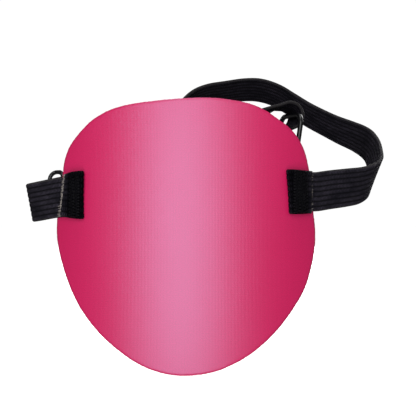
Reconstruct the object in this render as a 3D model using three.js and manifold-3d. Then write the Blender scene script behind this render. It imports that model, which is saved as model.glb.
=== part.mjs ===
// Moulded fabric eye patch with an adjustable elastic strap.
// Millimetres. X to the viewer's right, Y backwards towards the wearer's face, Z up.
// The origin is on the face side, in the middle of the patch, level with its side edges.
import * as THREE from 'three';
import { mergeVertices } from 'three/addons/utils/BufferGeometryUtils.js';
import Module from 'manifold-3d';

const wasm = await Module();
wasm.setup();

// ---------- driving dimensions ----------
const APEX_Y = -14;          // front of the cup
const R_SIDE = 57;           // bend radius of the cup about the vertical
const R_TALL = 190;          // much gentler bend about the horizontal
const COVER_T = 0.5;         // outer fabric
const FOAM_T = 1.6;          // foam core
const LINING_T = 0.4;        // inner fabric
const GAP = 0.3;             // clearance between neighbouring solids
const STRAP_W = 11.5;        // elastic strap
const STRAP_T = 1.0;
const THREAD_R = 0.25;       // bar tack thread
const BAR_R = 0.65;          // slider bars
const RING_R = 0.8;          // ring wire

// cut outline of the patch, X and Z, clockwise from the top
const OUTLINE = [
  [3.6, 39.6], [9.1, 39.5], [13.3, 39.0], [17.9, 38.2], [22.2, 36.6], [25.9, 34.3], [30.3, 31.1], [33.0, 27.8],
  [34.5, 24.8], [35.4, 21.7], [36.0, 18.4], [36.6, 13.1], [37.1, 7.6], [37.6, 3.4], [37.8, -0.1], [37.6, -3.6],
  [36.8, -8.2], [34.8, -14.9], [31.6, -20.5], [27.3, -26.2], [22.6, -30.9], [17.7, -34.6], [13.0, -37.1],
  [8.7, -38.8], [3.4, -39.8], [-2.2, -40.0], [-8.0, -39.0], [-13.6, -36.8], [-19.3, -33.1], [-25.2, -28.0],
  [-30.6, -21.3], [-34.4, -13.8], [-37.0, -5.9], [-38.0, -0.1], [-37.9, 5.0], [-37.2, 11.1], [-36.3, 17.2],
  [-35.8, 21.9], [-34.6, 26.4], [-31.0, 29.9], [-27.0, 33.3], [-21.9, 36.1], [-16.3, 37.6], [-10.3, 38.6], [-4.0, 39.2],
];

// strap centre line stations: [centre], [direction across the strap, towards its upper edge]
const W0 = [-0.167, -0.102, 0.981];
const RUN = [0.838, 0.511, 0.196];            // straight run that the slider travels on
const RUN_START = [-44, 18.6, 10.5];
const alongRun = (t) => RUN_START.map((c, i) => c + RUN[i] * t);
const RING_BAR = [-0.36, 0.933, 0];   // direction of the ring's cross bars
const CURL = { x: 31.0, y: 52, z: 38.0, r: 4.3 };                                 // loose turn of the strap round the ring
const curlTilt = (deg) => 0.18 * Math.max(0, Math.sin(deg * Math.PI / 180));     // the far edge hangs lower on top
const curlAt = (deg) => {
  const c = CURL.r * Math.cos(deg * Math.PI / 180), s = CURL.r * Math.sin(deg * Math.PI / 180);
  return [CURL.x + c * RING_BAR[1], CURL.y - c * RING_BAR[0], CURL.z + s - curlTilt(deg) * STRAP_W / 2];
};
const curlStation = (deg) => [curlAt(deg), [-RING_BAR[0], -RING_BAR[1], curlTilt(deg)]];
const CURL_END = -67;

const RIGHT_STRAP = [
  [[37.9, 2.1, 12.9], [0, 0, 1]],
  [[42.3, 5.0, 13.4], [0, -0.02, 1]],
  [[47.8, 10.0, 14.1], [0.02, -0.12, 0.99]],
  [[52.2, 15.0, 14.8], [0.05, -0.28, 0.96]],
  [[55.9, 20.5, 16.3], [0.17, -0.37, 0.91]],
  [[58.2, 28.0, 18.7], [0.31, -0.45, 0.84]],
  [[59.1, 37.0, 22.4], [0.26, -0.60, 0.76]],
  [[59.1, 47.0, 26.2], [0.20, -0.67, 0.71]],
  [[57.8, 56.0, 29.2], [0.12, -0.70, 0.71]],
  [[54.5, 63.5, 31.7], [0.10, -0.74, 0.67]],
  [[48.6, 70.5, 34.9], [0.11, -0.76, 0.64]],
  [[41.2, 76.0, 39.3], [0.13, -0.79, 0.60]],
  [[35.6, 79.5, 43.0], [0.14, -0.79, 0.60]],
  [[30.2, 81.5, 46.5], [0.13, -0.79, 0.60]],
  [[24.4, 82.0, 48.4], [0.07, -0.78, 0.62]],
  [[18.7, 81.0, 48.6], [0.03, -0.79, 0.61]],
  [[12.0, 79.0, 47.6], [0.02, -0.81, 0.59]],
  [[4.9, 76.0, 46.2], [0.06, -0.81, 0.58]],
  [[-0.8, 72.5, 43.2], [0.10, -0.84, 0.53]],
  [[-6.6, 68.5, 37.0], [0.16, -0.91, 0.38]],
  [[-11.0, 65.5, 28.5], [0.12, -0.97, 0.20]],
  [[-13.0, 63.0, 19.5], [0, -1, 0.05]],
  [[-10.6, 59.5, 10.5], [0, -1, 0]],
  [[-3.5, 55.0, 5.2], [0.05, -1, 0]],
  [[5.0, 50.2, 6.0], [0.15, -0.99, 0]],
  [[12.5, 47.0, 10.6], [0.28, -0.96, 0]],
];
const LEFT_STRAP_FRONT = [
  [[-38.8, 1.75, 10.75], [0.03, 0, 1]],
  [[-41.4, 4.0, 10.3], [0.02, 0, 1]],
  [[-44.9, 8.0, 9.75], [-0.08, -0.03, 1]],
  [[-46.9, 12.6, 9.55], [-0.17, -0.07, 0.98]],
  [[-46.4, 16.3, 9.9], [-0.19, -0.1, 0.98]],
];
const RETURN_RUN = [
  [[28.7, 51.1, 32.4], [0.28, -0.96, 0]],
  [[24.6, 49.8, 30.4], [0.12, -0.99, 0.02]],
  [[19.5, 48.0, 27.6], [0, -1, 0.08]],
  [[12.7, 44.8, 24.5], [0, -0.93, 0.37]],
  [[5.0, 40.6, 21.9], [0, -0.7, 0.71]],
  [[-3.0, 37.0, 20.0], [-0.08, -0.38, 0.92]],
];
// closed strap ring: centres of its two cross bars
const RING_TOP = [33.5, 52.73, 38.0];
const RING_LOW = [31.6, 52, 24.2];
const RING_SPAN = 15.6;       // centre to centre of its two side pieces
// slider
const SLIDER_AT = 6.8;        // distance of its middle along the straight run
const SLIDER_HALF = 2.6;      // half the centre distance of its outer bars
const SLIDER_REACH = 6.9;     // middle of the strap to the middle of each rounded end
const SLIDER_UP = 0.35;       // it sits this much high on the strap

// ---------- helpers ----------
const V = (a) => new THREE.Vector3(a[0], a[1], a[2]);

const sag = (x, z) => R_SIDE - Math.sqrt(R_SIDE * R_SIDE - x * x) + (z * z) / (2 * R_TALL);
const frontY = (x, z) => APEX_Y + sag(x, z);
const normalAt = (x, z) => {            // unit normal pointing back, towards the face
  const dx = x / Math.sqrt(R_SIDE * R_SIDE - x * x);
  const dz = z / R_TALL;
  return new THREE.Vector3(-dx, 1, -dz).normalize();
};
const onPatch = (x, z, depth) => {      // depth is measured inwards from the outer face
  const n = normalAt(x, z);
  return new THREE.Vector3(x, frontY(x, z), z).addScaledVector(n, depth);
};

function closedMesh(vertices, triangles) {
  const g = new THREE.BufferGeometry();
  g.setAttribute('position', new THREE.Float32BufferAttribute(vertices.flatMap((v) => [v.x, v.y, v.z]), 3));
  g.setIndex(triangles.flat());
  return g;
}

// flip a closed mesh whose faces point in
function facingOut(geometry) {
  const p = geometry.attributes.position, idx = geometry.index.array;
  const a = new THREE.Vector3(), b = new THREE.Vector3(), c = new THREE.Vector3();
  let volume = 0;
  for (let i = 0; i < idx.length; i += 3) {
    a.fromBufferAttribute(p, idx[i]); b.fromBufferAttribute(p, idx[i + 1]); c.fromBufferAttribute(p, idx[i + 2]);
    volume += a.dot(b.cross(c));
  }
  if (volume < 0) {
    const flipped = [];
    for (let i = 0; i < idx.length; i += 3) flipped.push(idx[i], idx[i + 2], idx[i + 1]);
    geometry.setIndex(flipped);
  }
  return geometry;
}

// uniform Catmull-Rom through stations, n steps per span
function smooth(stations, n) {
  const out = [];
  const last = stations.length - 1;
  for (let i = 0; i < last; i++) {
    const p = [Math.max(i - 1, 0), i, i + 1, Math.min(i + 2, last)].map((k) => stations[k]);
    for (let s = 0; s < n; s++) {
      const t = s / n, t2 = t * t, t3 = t2 * t;
      const mix = (a, b, c, d) => 0.5 * (2 * b + (c - a) * t + (2 * a - 5 * b + 4 * c - d) * t2 + (3 * b - a - 3 * c + d) * t3);
      out.push([0, 1].map((h) => [0, 1, 2].map((k) => mix(p[0][h][k], p[1][h][k], p[2][h][k], p[3][h][k]))));
    }
  }
  out.push(stations[last]);
  return out;
}

// flat band: rectangular section carried along the stations
function band(stations, width = STRAP_W, thick = STRAP_T) {
  const v = [], f = [];
  const n = stations.length;
  for (let i = 0; i < n; i++) {
    const c = V(stations[i][0]);
    const tangent = V(stations[Math.min(i + 1, n - 1)][0]).sub(V(stations[Math.max(i - 1, 0)][0])).normalize();
    const w = V(stations[i][1]);
    w.addScaledVector(tangent, -w.dot(tangent)).normalize();
    const m = new THREE.Vector3().crossVectors(tangent, w);
    for (const [a, b] of [[-1, -1], [1, -1], [1, 1], [-1, 1]])
      v.push(c.clone().addScaledVector(w, a * width / 2).addScaledVector(m, b * thick / 2));
  }
  for (let i = 0; i < n - 1; i++)
    for (let k = 0; k < 4; k++) {
      const a = 4 * i + k, b = 4 * i + (k + 1) % 4, c = b + 4, d = a + 4;
      f.push([a, b, c], [a, c, d]);
    }
  f.push([0, 2, 1], [0, 3, 2]);
  const e = 4 * (n - 1);
  f.push([e, e + 1, e + 2], [e, e + 2, e + 3]);
  return facingOut(closedMesh(v, f));
}

// round thread or wire through points, open with flat ends, or closed on itself
function wire(points, radius, sides, closed) {
  const v = [], f = [], n = points.length;
  let side = null;
  for (let i = 0; i < n; i++) {
    const prev = points[closed ? (i - 1 + n) % n : Math.max(i - 1, 0)];
    const next = points[closed ? (i + 1) % n : Math.min(i + 1, n - 1)];
    const t = next.clone().sub(prev).normalize();
    if (!side) side = Math.abs(t.z) > 0.7 ? new THREE.Vector3(1, 0, 0) : new THREE.Vector3(0, 0, 1);
    side.addScaledVector(t, -side.dot(t)).normalize();
    const other = new THREE.Vector3().crossVectors(t, side);
    for (let k = 0; k < sides; k++) {
      const a = 2 * Math.PI * k / sides;
      v.push(points[i].clone().addScaledVector(side, radius * Math.cos(a)).addScaledVector(other, radius * Math.sin(a)));
    }
  }
  const spans = closed ? n : n - 1;
  for (let i = 0; i < spans; i++)
    for (let k = 0; k < sides; k++) {
      const j = (i + 1) % n;
      const a = i * sides + k, b = i * sides + (k + 1) % sides, c = j * sides + (k + 1) % sides, d = j * sides + k;
      f.push([a, b, c], [a, c, d]);
    }
  if (!closed)
    for (let k = 1; k < sides - 1; k++) {
      f.push([0, k + 1, k]);
      const e = (n - 1) * sides;
      f.push([e, e + k, e + k + 1]);
    }
  return facingOut(closedMesh(v, f));
}

// one layer of the moulded patch between two depths; its edge is square to the surface
function patchLayer(from, to, rings) {
  const v = [], f = [];
  const n = OUTLINE.length;
  const face = (depth) => {
    const start = v.length;
    v.push(onPatch(0, 0, depth));
    for (let r = 1; r <= rings; r++)
      for (const [x, z] of OUTLINE) v.push(onPatch(x * r / rings, z * r / rings, depth));
    return start;
  };
  const a = face(from), b = face(to);
  for (const [s, flip] of [[a, false], [b, true]]) {
    const put = (i, j, k) => f.push(flip ? [i, k, j] : [i, j, k]);
    for (let i = 0; i < n; i++) put(s, s + 1 + i, s + 1 + (i + 1) % n);
    for (let r = 1; r < rings; r++)
      for (let i = 0; i < n; i++) {
        const p = s + 1 + (r - 1) * n + i, q = s + 1 + (r - 1) * n + (i + 1) % n, P = p + n, Q = q + n;
        put(p, P, Q); put(p, Q, q);
      }
  }
  const ra = a + 1 + (rings - 1) * n, rb = b + 1 + (rings - 1) * n;
  for (let i = 0; i < n; i++) {
    const j = (i + 1) % n;
    f.push([ra + i, rb + i, rb + j], [ra + i, rb + j, ra + j]);
  }
  return facingOut(closedMesh(v, f));
}

const toSolid = (geometry) => {
  const g = geometry.index ? geometry.clone() : geometry;
  g.deleteAttribute('normal'); g.deleteAttribute('uv');
  const m = mergeVertices(g, 1e-4);
  return new wasm.Manifold(new wasm.Mesh({ numProp: 3, vertProperties: new Float32Array(m.attributes.position.array), triVerts: new Uint32Array(m.index.array) }));
};
const fromSolid = (solid) => {
  const m = solid.getMesh();
  const g = new THREE.BufferGeometry();
  g.setAttribute('position', new THREE.BufferAttribute(new Float32Array(m.vertProperties), 3));
  g.setIndex(new THREE.BufferAttribute(new Uint32Array(m.triVerts), 1));
  return g;
};

const fabric = (color, roughness) => new THREE.MeshStandardMaterial({ color, roughness, metalness: 0 });
const PINK = fabric(0xd62f6c, 0.6), FOAM = fabric(0xd9cfc8, 0.9), LINING = fabric(0x17151a, 0.9);
const ELASTIC = fabric(0x1b1a20, 0.85), THREAD = fabric(0x0e0d12, 0.5), PLASTIC = fabric(0x121214, 0.3);

const patch = new THREE.Group();
const add = (name, geometry, material) => {
  const mesh = new THREE.Mesh(geometry, material);
  mesh.name = name;
  patch.add(mesh);
  return mesh;
};

// ---------- moulded patch: outer fabric, foam core, inner fabric ----------
let depth = 0;
add('outer_cover', patchLayer(depth, depth + COVER_T, 5), PINK);
depth += COVER_T + GAP;
add('foam_core', patchLayer(depth, depth + FOAM_T, 5), FOAM);
depth += FOAM_T + GAP;
add('inner_lining', patchLayer(depth, depth + LINING_T, 5), LINING);

// ---------- strap ends folded over and sewn to the front of the patch ----------
// side: +1 right, -1 left. The strap lies on the patch, folds over itself at its inner
// end, and its cut end lies on top.
function foldedEnd(side, xOut, xFold, xCut, zMid) {
  const low = -(GAP + STRAP_T / 2), high = low - (STRAP_T + GAP), mid = (low + high) / 2, r = (low - high) / 2;
  const s = [];
  const w = [0, 0, 1];
  const at = (x, d) => { const p = onPatch(side * x, zMid, d); return [[p.x, p.y, p.z], w]; };
  for (const x of [xOut, xOut - 2.4, xOut - 4.8]) s.push(at(x, low));
  const turn = xFold + r + STRAP_T / 2;
  s.push(at(turn, low));
  const c = onPatch(side * turn, zMid, mid), n = normalAt(side * turn, zMid);
  const inward = new THREE.Vector3(0, 0, 1).cross(n).multiplyScalar(side);   // along the surface
  if (inward.x * side > 0) inward.negate();
  for (const deg of [-60, -30, 0, 30, 60]) {
    const a = deg * Math.PI / 180;
    const p = c.clone().addScaledVector(inward, r * Math.cos(a)).addScaledVector(n, -r * Math.sin(a));
    s.push([[p.x, p.y, p.z], w]);
  }
  s.push(at(turn, high), at((turn + xCut) / 2, high), at(xCut, high));
  return band(s, 12.6);
}
add('right_strap_end', foldedEnd(1, 36.6, 29.0, 35.4, 12.7), ELASTIC);
add('left_strap_end', foldedEnd(-1, 37.2, 28.8, 34.6, 11.5), ELASTIC);

// zigzag bar tacks lying on the folded ends
function tackOnPatch(side, x0, zMid) {
  const d = -(GAP + STRAP_T + GAP + STRAP_T + GAP + THREAD_R);
  const pts = [];
  for (let i = 0; i <= 10; i++)
    pts.push(onPatch(side * (x0 + (i % 2 ? 2.6 : 0)), zMid - 5.2 + i * 1.04, d));
  return wire(pts, THREAD_R, 5, false);
}
add('right_end_bar_tack', tackOnPatch(1, 30.6, 12.7), THREAD);
add('left_end_bar_tack', tackOnPatch(-1, 30.6, 11.6), THREAD);

// ---------- right strap: round the back, turns, and its end is sewn round the ring ----------
const low = V(RING_LOW);
const barDir = V(RING_BAR).normalize();
const pull = new THREE.Vector3(-0.85, 0, -0.53);                // away from the ring, along the strap
pull.addScaledVector(barDir, -pull.dot(barDir)).normalize();
const across = new THREE.Vector3().crossVectors(barDir, pull);
const atRing = (q, m) => { const p = low.clone().addScaledVector(pull, q).addScaledVector(across, m); return [[p.x, p.y, p.z], [-barDir.x, -barDir.y, 0]]; };
const loopR = RING_R + GAP + STRAP_T / 2;
const ringLoop = [atRing(14.5, -0.65), atRing(9, -0.65), atRing(5.2, -0.75), atRing(2.2, -1.35)];
for (const deg of [-90, -60, -30, 0, 30, 60, 90]) {
  const a = deg * Math.PI / 180;
  ringLoop.push(atRing(-loopR * Math.cos(a), loopR * Math.sin(a)));
}
ringLoop.push(atRing(2.2, 1.35), atRing(5.2, 0.75), atRing(9.5, 0.65));
add('right_strap', band([...smooth(RIGHT_STRAP, 2), ...ringLoop]), ELASTIC);
const ringTack = [];
for (let i = 0; i <= 8; i++) {
  const p = low.clone().addScaledVector(pull, i % 2 ? 5.6 : 8.2).addScaledVector(across, 0.75 + STRAP_T / 2 + GAP + THREAD_R);
  ringTack.push(p.addScaledVector(barDir, -4.6 + i * 1.15));
}
add('ring_end_bar_tack', wire(ringTack, THREAD_R, 5, false), THREAD);

// ---------- left strap: folds back, carries the slider, and turns through the ring ----------
const leftStations = [...smooth([...LEFT_STRAP_FRONT, [alongRun(0), W0], [alongRun(4), W0]], 2)];
for (const t of [12, 22, 32, 38]) leftStations.push([alongRun(t), W0]);
const from = alongRun(38), to = curlAt(120);
for (const [u, w, lift] of [[0.2, [-0.1, -0.25, 0.96], 0], [0.4, [-0.05, -0.55, 0.83], 0], [0.6, [0, -0.83, 0.55], 0.2], [0.8, [0.1, -0.95, 0.32], 0.7]])
  leftStations.push([from.map((c, i) => c + (to[i] - c) * u + (i === 2 ? lift : 0)), w]);
for (let deg = 120; deg >= CURL_END; deg -= 17) leftStations.push(curlStation(deg));
add('left_strap', band(leftStations), ELASTIC);

// the doubled length from the ring back to the slider
const d0 = V(RUN), w0 = V(W0).addScaledVector(d0, -V(W0).dot(d0)).normalize();
const front = new THREE.Vector3().crossVectors(d0, w0).normalize();     // off the strap, towards the patch
const beside = (t, m) => { const p = V(alongRun(t)).addScaledVector(front, m); return [[p.x, p.y, p.z], W0]; };
const start = curlAt(CURL_END), lead = [-0.858, -0.331, -0.391];
const after = start.map((c, i) => c + lead[i] * 0.5);
const layer = STRAP_T + GAP;                       // centre to centre of touching layers
const barAt = layer + STRAP_T / 2 + GAP + BAR_R;   // slider's centre bar, off the strap's centre line
const outerLayer = barAt + BAR_R + GAP + STRAP_T / 2;
add('return_strap', band([[after, [-RING_BAR[0], -RING_BAR[1], 0]], ...smooth(RETURN_RUN, 2), beside(36, outerLayer), beside(28, outerLayer), beside(SLIDER_AT + 11.4, outerLayer)]), ELASTIC);

// sewn end loop round the slider's centre bar
const endLoop = [beside(SLIDER_AT + 11, outerLayer), beside(SLIDER_AT + 7, outerLayer), beside(SLIDER_AT + 3, outerLayer), beside(SLIDER_AT, outerLayer)];
for (const deg of [60, 30, 0, -30, -60]) {
  const a = deg * Math.PI / 180, r = outerLayer - barAt;
  endLoop.push(beside(SLIDER_AT - r * Math.cos(a), barAt + r * Math.sin(a)));
}
endLoop.push(beside(SLIDER_AT, layer), beside(SLIDER_AT + 4, layer), beside(SLIDER_AT + 9.5, layer));
add('slider_end_loop', band(endLoop), ELASTIC);
const sliderTack = [];
for (let i = 0; i <= 8; i++) {
  const p = V(alongRun(SLIDER_AT + (i % 2 ? 7.0 : 9.4))).addScaledVector(front, outerLayer + STRAP_T / 2 + GAP + THREAD_R).addScaledVector(w0, -4.6 + i * 1.15);
  sliderTack.push(p);
}
add('slider_end_bar_tack', wire(sliderTack, THREAD_R, 5, false), THREAD);

// ---------- slider: round-ended frame behind the strap, centre bar in front, joined past the strap's edges ----------
const backBar = -(STRAP_T / 2 + GAP + BAR_R);
function rod(a, b, r) {
  const axis = b.clone().sub(a);
  const g = new THREE.CylinderGeometry(r, r, axis.length(), 10);
  g.applyQuaternion(new THREE.Quaternion().setFromUnitVectors(new THREE.Vector3(0, 1, 0), axis.clone().normalize()));
  const c = a.clone().add(b).multiplyScalar(0.5);
  g.translate(c.x, c.y, c.z);
  return g;
}
const ball = (c, r) => new THREE.SphereGeometry(r, 10, 8).translate(c.x, c.y, c.z);
const sliderPoint = (t, m, w) => V(alongRun(SLIDER_AT + t)).addScaledVector(front, m).addScaledVector(w0, w + SLIDER_UP);
const straight = 4.5;         // the outer bars are straight to here
const framePts = [];
for (const [sign, a0] of [[1, 0], [-1, 180]])
  for (let k = 0; k <= 8; k++) {
    const a = (a0 + k * 22.5) * Math.PI / 180;
    framePts.push(sliderPoint(SLIDER_HALF * Math.cos(a), backBar, sign * straight + (SLIDER_REACH - straight) * Math.sin(a)));
  }
let slider = toSolid(wire(framePts, BAR_R, 10, true));
for (const s of [-1, 1]) {
  const foot = sliderPoint(0, backBar, s * SLIDER_REACH), head = sliderPoint(0, barAt, s * SLIDER_REACH);
  slider = slider.add(toSolid(rod(foot, head, BAR_R))).add(toSolid(ball(head, BAR_R)));
}
slider = slider.add(toSolid(rod(sliderPoint(0, barAt, -SLIDER_REACH), sliderPoint(0, barAt, SLIDER_REACH), BAR_R)));
add('slider_frame', fromSolid(slider), PLASTIC);

// ---------- closed strap ring ----------
const ringMid = V(RING_TOP).add(low).multiplyScalar(0.5);
const up = V(RING_TOP).sub(low);
const ringH = up.length();
up.normalize();
const ringPts = [];
for (const [sy, sz, a0] of [[1, 1, 0], [-1, 1, 90], [-1, -1, 180], [1, -1, 270]]) {
  const corner = sz > 0 ? 3.0 : 1.8;
  for (const deg of [0, 30, 60, 90]) {
    const a = (a0 + deg) * Math.PI / 180;
    const y = sy * (RING_SPAN / 2 - corner) + corner * Math.cos(a), z = sz * (ringH / 2 - corner) + corner * Math.sin(a);
    ringPts.push(ringMid.clone().addScaledVector(barDir, y).addScaledVector(up, z));
  }
}
add('strap_ring', wire(ringPts, RING_R, 10, true), PLASTIC);

export default patch;
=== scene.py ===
import bpy, math, random
import numpy as np
from mathutils import Vector, Matrix


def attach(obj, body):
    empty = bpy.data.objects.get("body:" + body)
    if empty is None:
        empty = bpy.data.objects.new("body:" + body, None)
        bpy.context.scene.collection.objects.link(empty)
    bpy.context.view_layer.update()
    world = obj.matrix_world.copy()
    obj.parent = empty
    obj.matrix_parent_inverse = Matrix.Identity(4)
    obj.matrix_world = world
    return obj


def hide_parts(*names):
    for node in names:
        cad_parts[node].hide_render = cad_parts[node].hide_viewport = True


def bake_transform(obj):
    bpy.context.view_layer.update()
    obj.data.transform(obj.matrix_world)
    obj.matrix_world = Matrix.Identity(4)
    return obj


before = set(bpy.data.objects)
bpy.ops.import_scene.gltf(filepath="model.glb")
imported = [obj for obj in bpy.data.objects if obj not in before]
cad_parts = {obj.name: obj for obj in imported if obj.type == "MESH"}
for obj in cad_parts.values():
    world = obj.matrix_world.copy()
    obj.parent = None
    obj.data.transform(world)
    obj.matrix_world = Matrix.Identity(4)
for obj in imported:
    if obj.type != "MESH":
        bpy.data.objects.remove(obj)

rng = random.Random(11)
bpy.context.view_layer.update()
MM = 0.001

# ------------------------------------------------------------------ camera
cam_data = bpy.data.cameras.new("camera")
cam = bpy.data.objects.new("camera", cam_data)
bpy.context.scene.collection.objects.link(cam)
cam_data.sensor_width = 36
cam_data.lens = 36 * 450 / 119.33
cam_data.clip_start, cam_data.clip_end = 0.01, 20
cam.location = (0.0063, -0.458, 0.0080)
cam.rotation_euler = (math.radians(90), 0, 0)
bpy.context.scene.camera = cam

# ------------------------------------------------------------------ dimensions, as in the CAD model (mm)
APEX_Y, R_SIDE, R_TALL = -14.0, 57.0, 190.0
COVER_T, FOAM_T, LINING_T = 0.55, 2.10, 0.45
STRAP_W, STRAP_T, BAR_R, RING_R, GAP = 11.5, 1.0, 0.65, 0.8, 0.3
OUTLINE = [
    (3.6, 39.6), (9.1, 39.5), (13.3, 39.0), (17.9, 38.2), (22.2, 36.6), (25.9, 34.3), (30.3, 31.1), (33.0, 27.8),
    (34.5, 24.8), (35.4, 21.7), (36.0, 18.4), (36.6, 13.1), (37.1, 7.6), (37.6, 3.4), (37.8, -0.1), (37.6, -3.6),
    (36.8, -8.2), (34.8, -14.9), (31.6, -20.5), (27.3, -26.2), (22.6, -30.9), (17.7, -34.6), (13.0, -37.1),
    (8.7, -38.8), (3.4, -39.8), (-2.2, -40.0), (-8.0, -39.0), (-13.6, -36.8), (-19.3, -33.1), (-25.2, -28.0),
    (-30.6, -21.3), (-34.4, -13.8), (-37.0, -5.9), (-38.0, -0.1), (-37.9, 5.0), (-37.2, 11.1), (-36.3, 17.2),
    (-35.7, 21.9), (-34.0, 26.2), (-31.0, 30.0), (-27.3, 33.5), (-22.1, 36.3), (-16.4, 37.8), (-10.3, 38.6), (-4.0, 39.2)]
W0 = (-0.167, -0.102, 0.981)
RUN = (0.838, 0.511, 0.196)
RUN_START = (-44.0, 18.6, 10.5)
CURL = (31.0, 52.0, 38.0, 4.3)
SLIDER_AT, SLIDER_HALF, SLIDER_REACH, SLIDER_UP = 6.8, 2.6, 6.9, 0.35
RING_TOP, RING_LOW, RING_SPAN, RING_BAR = (33.5, 52.73, 38.0), (31.6, 52.0, 24.2), 15.6, (-0.36, 0.933, 0.0)


def A(*v):
    return np.array(v, float)


def unit(v):
    return v / np.linalg.norm(v)


# ------------------------------------------------------------------ node helpers
def new_mat(name):
    m = bpy.data.materials.new(name)
    m.use_nodes = True
    nt = m.node_tree
    bsdf = nt.nodes["Principled BSDF"]
    return m, nt, bsdf


class N:
    """Short-hand for building a node tree."""

    def __init__(self, nt):
        self.nt = nt

    def put(self, kind, **kw):
        n = self.nt.nodes.new(kind)
        for k, v in kw.items():
            setattr(n, k, v)
        return n

    def set(self, socket, value):
        if isinstance(value, bpy.types.NodeSocket):
            self.nt.links.new(value, socket)
        else:
            socket.default_value = value

    def math(self, op, a, b=None, c=None, clamp=False):
        n = self.put("ShaderNodeMath", operation=op, use_clamp=clamp)
        for i, v in enumerate((a, b, c)):
            if v is not None:
                self.set(n.inputs[i], v)
        return n.outputs[0]

    def mix(self, f, a, b):
        n = self.put("ShaderNodeMix", data_type="RGBA")
        self.set(n.inputs[0], f)
        self.set(n.inputs[6], a)
        self.set(n.inputs[7], b)
        return n.outputs[2]

    def noise(self, vector, scale, detail=2.0, rough=0.5):
        n = self.put("ShaderNodeTexNoise")
        self.set(n.inputs["Vector"], vector)
        n.inputs["Scale"].default_value = scale
        n.inputs["Detail"].default_value = detail
        n.inputs["Roughness"].default_value = rough
        return n.outputs["Fac"]

    def uv(self, name="uv_mm"):
        return self.put("ShaderNodeUVMap", uv_map=name).outputs[0]

    def xyz(self, v):
        n = self.put("ShaderNodeSeparateXYZ")
        self.set(n.inputs[0], v)
        return n.outputs

    def join(self, x, y, z=0.0):
        n = self.put("ShaderNodeCombineXYZ")
        for i, v in enumerate((x, y, z)):
            self.set(n.inputs[i], v)
        return n.outputs[0]

    def ramp(self, f, stops):
        n = self.put("ShaderNodeValToRGB")
        self.set(n.inputs[0], f)
        cr = n.color_ramp
        while len(cr.elements) < len(stops):
            cr.elements.new(0.5)
        for e, (p, c) in zip(cr.elements, stops):
            e.position, e.color = p, c
        return n.outputs[0]

    def bump(self, height, distance, strength=1.0, normal=None):
        n = self.put("ShaderNodeBump")
        self.set(n.inputs["Height"], height)
        n.inputs["Distance"].default_value = distance
        n.inputs["Strength"].default_value = strength
        if normal is not None:
            self.set(n.inputs["Normal"], normal)
        return n.outputs[0]


def rgb(r, g, b):
    return (r, g, b, 1.0)


# ------------------------------------------------------------------ materials
def pink_fabric():
    m, nt, b = new_mat("pink_satin_knit")
    n = N(nt)
    uv = n.uv()
    x, y, _ = n.xyz(uv)
    # fine knit: wales run up the patch 0.42 mm apart, courses 0.50 mm apart, each stitch a small V
    wale = 0.42
    col = n.math("DIVIDE", x, wale)
    frac = n.math("ABSOLUTE", n.math("SUBTRACT", n.math("FRACT", col), 0.5))          # 0.5 at the wale's edge
    row = n.math("ADD", n.math("DIVIDE", y, 0.50), n.math("MULTIPLY", frac, 1.1))
    course = n.math("MULTIPLY", n.math("ADD", n.math("SINE", n.math("MULTIPLY", row, 2 * math.pi)), 1.0), 0.5)
    rib = n.math("SUBTRACT", 1.0, n.math("POWER", n.math("MULTIPLY", frac, 2.0), 2.5))
    stitch = n.math("MULTIPLY", rib, n.math("ADD", 0.62, n.math("MULTIPLY", course, 0.38)))
    # yarn-to-yarn variation in long vertical streaks, and soft blotches
    streak = n.noise(n.join(n.math("MULTIPLY", x, 1.6), n.math("MULTIPLY", y, 0.05)), 1.0, 3.0, 0.6)
    blotch = n.noise(n.join(n.math("MULTIPLY", x, 0.06), n.math("MULTIPLY", y, 0.06)), 1.0, 3.0, 0.5)
    fuzz = n.noise(n.join(n.math("MULTIPLY", x, 3.3), n.math("MULTIPLY", y, 2.9)), 1.0, 3.0, 0.75)
    # painted shade: the pink is painted darker in the grooves between wales and courses and lighter on each stitch's
    # crown
    base = n.mix(stitch, rgb(0.640, 0.0008, 0.078), rgb(0.780, 0.0022, 0.112))
    base = n.mix(n.math("MULTIPLY", n.math("SUBTRACT", fuzz, 0.40, clamp=True), 3.4, clamp=True), base, rgb(0.900, 0.006, 0.138))
    base = n.mix(n.math("MULTIPLY", n.math("SUBTRACT", blotch, 0.45, clamp=True), 0.7), base, rgb(0.740, 0.002, 0.090))
    nt.links.new(base, b.inputs["Base Color"])
    rough = n.math("ADD", 0.37, n.math("MULTIPLY", fuzz, 0.08))
    nt.links.new(rough, b.inputs["Roughness"])
    b.inputs["IOR"].default_value = 1.78
    b.inputs["Specular IOR Level"].default_value = 1.0
    b.inputs["Specular Tint"].default_value = rgb(0.40, 0.68, 1.0)
    b.inputs["Sheen Weight"].default_value = 0.02
    b.inputs["Sheen Roughness"].default_value = 0.45
    b.inputs["Sheen Tint"].default_value = rgb(1.0, 0.35, 0.55)
    h = n.math("ADD", n.math("MULTIPLY", stitch, 0.55), n.math("MULTIPLY", fuzz, 0.75))
    nrm = n.bump(h, 0.00006, 0.55)
    nrm = n.bump(streak, 0.00005, 0.15, nrm)
    nt.links.new(nrm, b.inputs["Normal"])
    return m


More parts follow.
